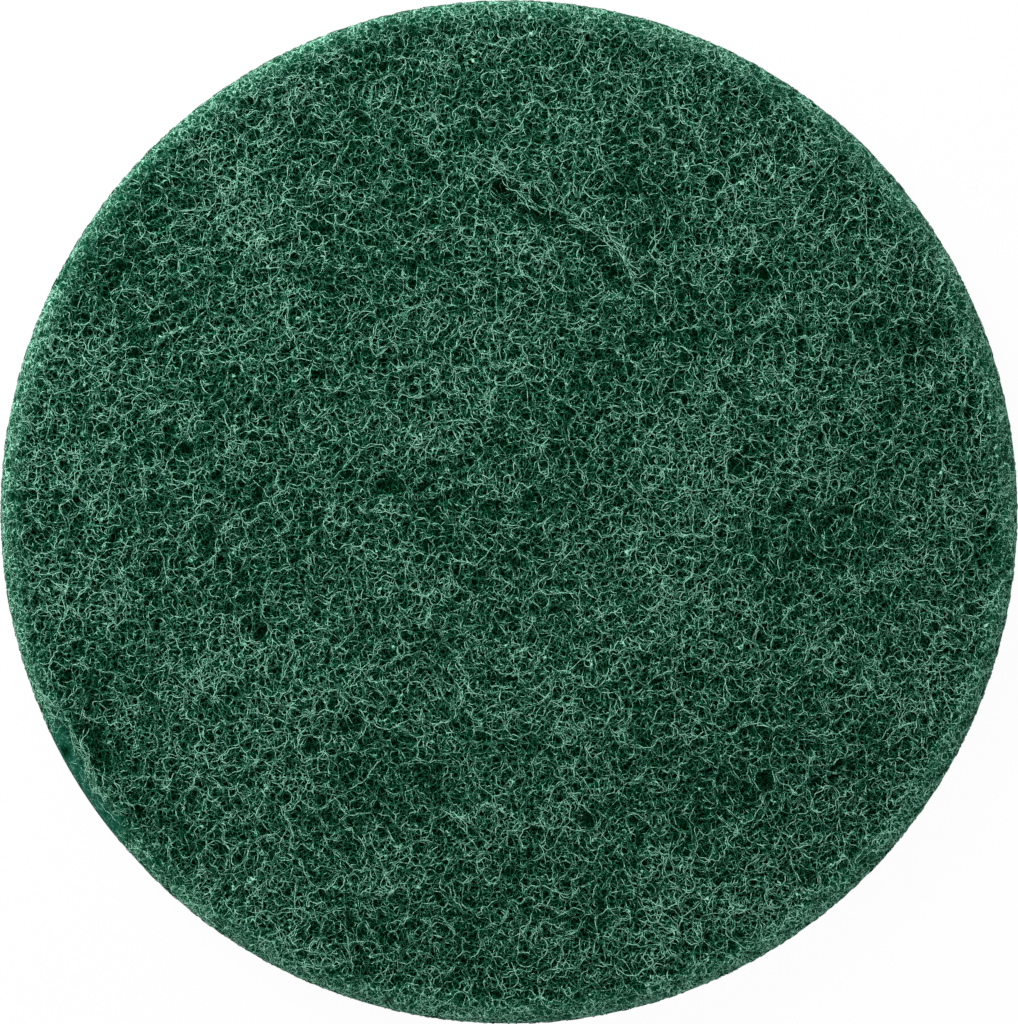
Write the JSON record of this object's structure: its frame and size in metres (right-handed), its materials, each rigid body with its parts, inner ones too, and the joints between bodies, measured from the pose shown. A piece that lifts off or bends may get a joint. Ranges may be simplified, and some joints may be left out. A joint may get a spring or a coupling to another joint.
{
  "type": "non-woven abrasive disc",
  "caption": "Round pad of open crimped web, bonded with abrasive resin, for scuffing, cleaning and finishing surfaces by hand or under a hook-faced backing pad.",
  "frame": {"origin": "middle of the underside, in the plane that the disc rests on", "axes": "+Z is the disc's axis and points out of its top face; +Y is towards the crease's end of the top face, up in the picture"},
  "size_m": [0.1246, 0.1254, 0.0094],
  "materials": {
    "abrasive_web": "matte resin-coated fibres with small bright glints"
  },
  "bodies": {
    "root": {"abrasive_disc": "abrasive_web"}
  },
  "joints": []
}
